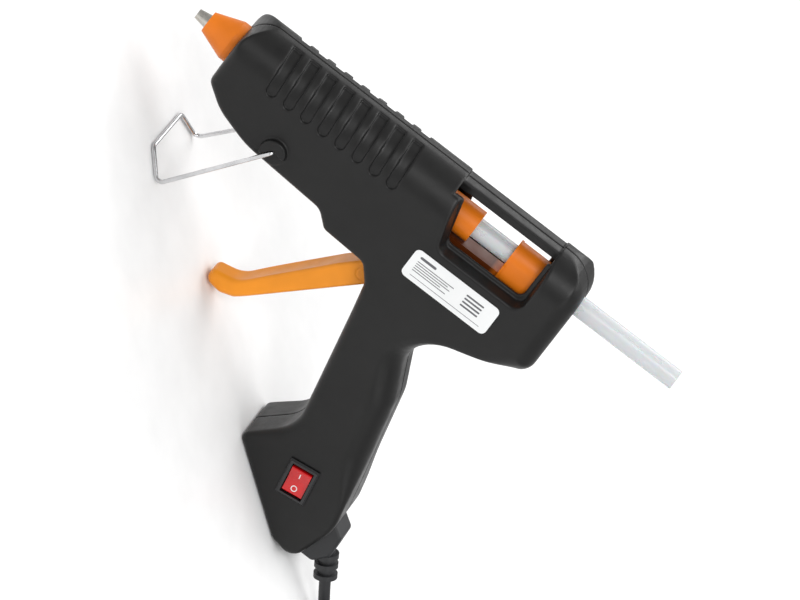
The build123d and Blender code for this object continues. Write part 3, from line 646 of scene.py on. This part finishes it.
class GLUEGUN_OT_feed(bpy.types.Operator):
    """Finish the stick, its guide, the carriage and the jaw"""

    bl_idname = "gluegun.feed"
    bl_label = "Feed"

    def execute(self, context):
        """Gives the feed its orange moulding and the stick its wax."""
        colours = context.scene.gluegun_colours
        orange = moulded("feed_moulding", colours.orange, 0.34, 0.48, 0.10, 0.32)
        dress("front_guide", orange)
        # painted shade: the carriage's slide fades to a dark colour up to the block, standing for the shade
        # it lies in inside the housing
        back = GUN.to_3x3().normalized() @ Vector((1.0, 0.0, 0.0))
        reach = [back.dot(at_gun(x, 0.0, 0.0)) for x in (196.0, 200.4)]
        # painted shade colour for the shaded slide
        painted_shade_colour = (0.11, 0.022, 0.002)
        dress("feed_carriage", moulded("carriage_moulding", colours.orange, 0.34, 0.48, 0.10, 0.32,
                                       (tuple(back), *reach, painted_shade_colour)))
        dress("grip_jaw", turned_metal("jaw_steel", (0.45, 0.45, 0.46), 0.3, 0.45))
        dress("glue_stick", stick_finish("glue", colours.stick))
        return {"FINISHED"}


class GLUEGUN_OT_trigger(bpy.types.Operator):
    """Finish the trigger, its pins and its spring"""

    bl_idname = "gluegun.trigger"
    bl_label = "Trigger"

    def execute(self, context):
        """Shapes the trigger round its finger pad, and gives its pins their steel."""
        colour = context.scene.gluegun_colours.trigger
        moulding = moulded("trigger_moulding", colour, 0.33, 0.46, 0.12, 0.32)
        form, axes = trigger_field(TRIGGER_CELL)
        mesh = surface(form, axes, TRIGGER_CELL, 1)
        blade = made_piece("trigger_blade", mesh, moulding, "trigger")
        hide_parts("trigger")
        steel = turned_metal("pin_steel", (0.55, 0.55, 0.56), 0.22, 0.38)
        for node in ("trigger_pin", "drive_pin", "return_spring"):
            dress(node, steel)
        return {"FINISHED"}


class GLUEGUN_OT_stand(bpy.types.Operator):
    """Finish the folding wire stand and the screws"""

    bl_idname = "gluegun.stand"
    bl_label = "Stand"

    def execute(self, context):
        """Gives the wire its bright plating."""
        dress("stand_wire", turned_metal("wire_plating", (0.66, 0.66, 0.67), 0.14, 0.3, 500.0))
        dress("shell_screws", turned_metal("screw_plating", (0.42, 0.42, 0.44), 0.25, 0.42))
        return {"FINISHED"}


def flat_bar(length, width, thickness, round_steps=5):
    """Bar with round ends, lying in its own x-y plane, as vertices and faces."""
    half, radius = max(length / 2 - width / 2, 0.0), width / 2
    rim = []
    for side in (1, -1):
        for k in range(round_steps + 1):
            a = -math.pi / 2 + math.pi * k / round_steps + (0 if side > 0 else math.pi)
            rim.append((side * half + radius * math.cos(a), radius * math.sin(a)))
    return prism([rim], thickness)


def prism(rims, thickness):
    """Closed prism over one rim, or over a ring between an outer and an inner rim."""
    count = len(rims[0])
    vertices = [(u, v, h) for rim in rims for h in (0.0, thickness) for u, v in rim]
    faces = []
    for k in range(count):
        n = (k + 1) % count
        faces.append((k, n, count + n, count + k))
        if len(rims) > 1:
            base = 2 * count
            faces.append((base + n, base + k, base + count + k, base + count + n))
            faces.append((n, k, base + k, base + n))
            faces.append((count + k, count + n, base + count + n, base + count + k))
    if len(rims) == 1:
        faces.append(tuple(range(count))[::-1])
        faces.append(tuple(range(count, 2 * count)))
    return vertices, faces


def placed_mesh(name, shapes, matrix):
    """Mesh of several flat shapes, each moved in its plane, set on the bench by matrix."""
    vertices, faces = [], []
    for (points, sides), (du, dv) in shapes:
        base = len(vertices)
        vertices += [tuple(GUN @ (matrix @ Vector((u + du, v + dv, h)))) for u, v, h in points]
        faces += [tuple(base + i for i in side) for side in sides]
    mesh = bpy.data.meshes.new(name)
    mesh.from_pydata(vertices, [], faces)
    mesh.validate()
    return mesh


def left_matrix(x, y, z, turn=0.0, tilt=0.0):
    """Frame on the left side: first axis along the barrel, second up, third outwards."""
    base = Matrix(((1, 0, 0, x), (0, 0, -1, y), (0, 1, 0, z), (0, 0, 0, 1)))
    return base @ Matrix.Rotation(turn, 4, "Z") @ Matrix.Rotation(tilt, 4, "X")


class GLUEGUN_OT_switch(bpy.types.Operator):
    """Finish the rocker switch and print its on and off marks"""

    bl_idname = "gluegun.switch"
    bl_label = "Switch"

    def execute(self, context):
        """Dresses the switch and adds a bar and a ring on the rocker's two faces."""
        colours = context.scene.gluegun_colours
        dress("switch_body", moulded("bezel_moulding", (0.010, 0.010, 0.011), 0.18, 0.30, 0.05))
        dress("switch_rocker", moulded("rocker_moulding", colours.rocker, 0.16, 0.26, 0.03, 0.6))
        dress("switch_terminals", turned_metal("terminal_brass", (0.75, 0.55, 0.25), 0.25, 0.4))
        print_white = film_finish("mark_print", (0.78, 0.76, 0.76))
        pivot_y = -HALF_WIDTH + 3.6
        origin = left_matrix(SWITCH_MM[0], pivot_y, SWITCH_MM[1], HANDLE_RAKE, math.radians(7.0))
        slope = math.atan2(1.8, 8.2)
        reach = 4.3
        lift = 3.4 + reach * math.tan(slope) + 0.02
        upper = origin @ Matrix.Translation((0, reach, lift)) @ Matrix.Rotation(slope, 4, "X")
        lower = origin @ Matrix.Translation((0, -reach, lift)) @ Matrix.Rotation(-slope, 4, "X")
        bar = placed_mesh("switch_mark_on", [(flat_bar(3.6, 0.55, 0.05), (0, 0))],
                          upper @ Matrix.Rotation(math.pi / 2, 4, "Z"))
        angles = np.linspace(0, 2 * math.pi, 40, endpoint=False)
        rims = [[(r * math.cos(a), r * math.sin(a)) for a in angles] for r in (1.75, 1.25)]
        ring = placed_mesh("switch_mark_off", [(prism(rims, 0.05), (0, 0))], lower)
        for mesh in (bar, ring):
            made_piece(mesh.name, mesh, print_white, "rocker", smooth=False)
        return {"FINISHED"}


class GLUEGUN_OT_label(bpy.types.Operator):
    """Finish the rating label and print its blank bars"""

    bl_idname = "gluegun.label"
    bl_label = "Label"

    def execute(self, context):
        """Prints plain bars, which stand for the lines of a rating label."""
        dress("rating_label", film_finish("label_film", context.scene.gluegun_colours.label))
        ink = film_finish("label_ink", (0.10, 0.10, 0.11))
        face = left_matrix(LABEL_MM[0], -HALF_WIDTH - 0.25, LABEL_MM[1])
        lines = [
            ((10.0, 1.5), (-17.5, 5.4)), ((23.0, 0.45), (-11.0, 2.6)), ((20.0, 0.45), (-12.5, 1.2)),
            ((22.0, 0.45), (-11.5, -0.2)), ((17.0, 0.45), (-14.0, -1.6)), ((21.0, 0.45), (-12.0, -3.0)),
            ((44.0, 0.3), (0.0, -6.1)),
        ]
        lines += [((11.0, 1.0), (13.0, height)) for height in (4.4, 2.2, 0.0, -2.2)]
        mesh = placed_mesh("label_bars", [(flat_bar(l, w, 0.03), at) for (l, w), at in lines], face)
        made_piece("label_bars", mesh, ink, "housing", smooth=False)
        return {"FINISHED"}


class GLUEGUN_OT_wiring(bpy.types.Operator):
    """Finish the wires inside the housing"""

    bl_idname = "gluegun.wiring"
    bl_label = "Wiring"

    def execute(self, context):
        """Gives each wire its insulation."""
        dress("live_lead", rubber("live_insulation", (0.18, 0.07, 0.03)))
        dress("heater_lead", rubber("heater_insulation", (0.18, 0.07, 0.03)))
        dress("neutral_lead", rubber("neutral_insulation", (0.03, 0.10, 0.35)))
        return {"FINISHED"}


class GLUEGUN_OT_stage(bpy.types.Operator):
    """Set out the studio: floor, soft lights and camera"""

    bl_idname = "gluegun.stage"
    bl_label = "Studio"

    def execute(self, context):
        """Places a pale floor, three soft lights and a long lens across the left side."""
        scene = context.scene
        turn = Matrix.Rotation(-NOSE_DOWN, 3, "Y")
        right, up = turn @ Vector((0.7934, 0.3044, 0.5272)), turn @ Vector((-0.6088, 0.3967, 0.6871))
        back = turn @ Vector((0.0, -0.8660, 0.5))
        target = at_gun(169.8, 0.0, -61.0)
        camera_data = bpy.data.cameras.new("camera")
        distance = 5.0
        camera_data.lens, camera_data.sensor_width = 88.25 * distance, 36.0
        camera = bpy.data.objects.new("camera", camera_data)
        rotation = Matrix((right, up, back)).transposed().to_4x4()
        camera.matrix_world = Matrix.Translation(target + back * distance) @ rotation
        scene.collection.objects.link(camera)
        scene.camera = camera
        floor_mesh = bpy.data.meshes.new("floor")
        span, lift = 8.0, -0.0002
        corners = [(-span, -span, lift), (span, -span, lift), (span, span, lift), (-span, span, lift)]
        floor_mesh.from_pydata(corners, [], [(0, 1, 2, 3)])
        floor = bpy.data.objects.new("floor", floor_mesh)
        floor_mesh.materials.append(film_finish("floor_paint", scene.gluegun_colours.floor))
        scene.collection.objects.link(floor)
        # each light: name, place, width and power
        lights = [("key", (-0.55, -1.5, 1.5), 0.9, 17.0), ("fill", (1.1, -1.5, 1.1), 1.6, 8.0),
                  ("top", (0.0, 0.5, 2.0), 2.2, 24.0), ("rim", (-0.5, 1.45, 1.2), 1.2, 11.0)]
        for name, place, size, power in lights:
            data = bpy.data.lights.new(name, "AREA")
            data.shape, data.size, data.energy = "DISK", size, power
            light = bpy.data.objects.new(name, data)
            light.location = place
            light.rotation_euler = (Vector((0, 0, 0.08)) - Vector(place)).to_track_quat("-Z", "Y").to_euler()
            scene.collection.objects.link(light)
        world = bpy.data.worlds.new("studio")
        world.use_nodes = True
        world.node_tree.nodes["Background"].inputs["Color"].default_value = (1.0, 1.0, 1.0, 1.0)
        world.node_tree.nodes["Background"].inputs["Strength"].default_value = 0.5
        scene.world = world
        scene.view_settings.view_transform = "Standard"
        return {"FINISHED"}


class GLUEGUN_PT_panel(bpy.types.Panel):
    """Lists the glue gun's sizes, colours and steps"""

    bl_idname = "GLUEGUN_PT_panel"
    bl_label = "Glue Gun"
    bl_space_type = "VIEW_3D"
    bl_region_type = "UI"
    bl_category = "Glue Gun"

    def draw(self, context):
        """Draws the properties and one button for each step."""
        for group in (context.scene.gluegun_sizes, context.scene.gluegun_colours):
            for name in group.__annotations__:
                self.layout.prop(group, name)
        for step in STEPS:
            self.layout.operator(step.bl_idname)


STEPS = (GLUEGUN_OT_stage, GLUEGUN_OT_lead, GLUEGUN_OT_housing, GLUEGUN_OT_hot_end, GLUEGUN_OT_feed,
         GLUEGUN_OT_trigger, GLUEGUN_OT_stand, GLUEGUN_OT_switch, GLUEGUN_OT_label, GLUEGUN_OT_wiring)
GROUPS = (GlueGunSizes, GlueGunColours)
CLASSES = GROUPS + STEPS + (GLUEGUN_PT_panel,)


def register():
    """Registers the classes and their properties on the scene."""
    for kind in CLASSES:
        bpy.utils.register_class(kind)
    bpy.types.Scene.gluegun_sizes = bpy.props.PointerProperty(type=GlueGunSizes)
    bpy.types.Scene.gluegun_colours = bpy.props.PointerProperty(type=GlueGunColours)


def unregister():
    """Takes the classes and properties away again."""
    del bpy.types.Scene.gluegun_colours
    del bpy.types.Scene.gluegun_sizes
    for kind in reversed(CLASSES):
        bpy.utils.unregister_class(kind)


def main():
    """Runs each step in order."""
    register()
    for step in STEPS:
        family, action = step.bl_idname.split(".")
        getattr(getattr(bpy.ops, family), action)()


if __name__ == "__main__":
    main()
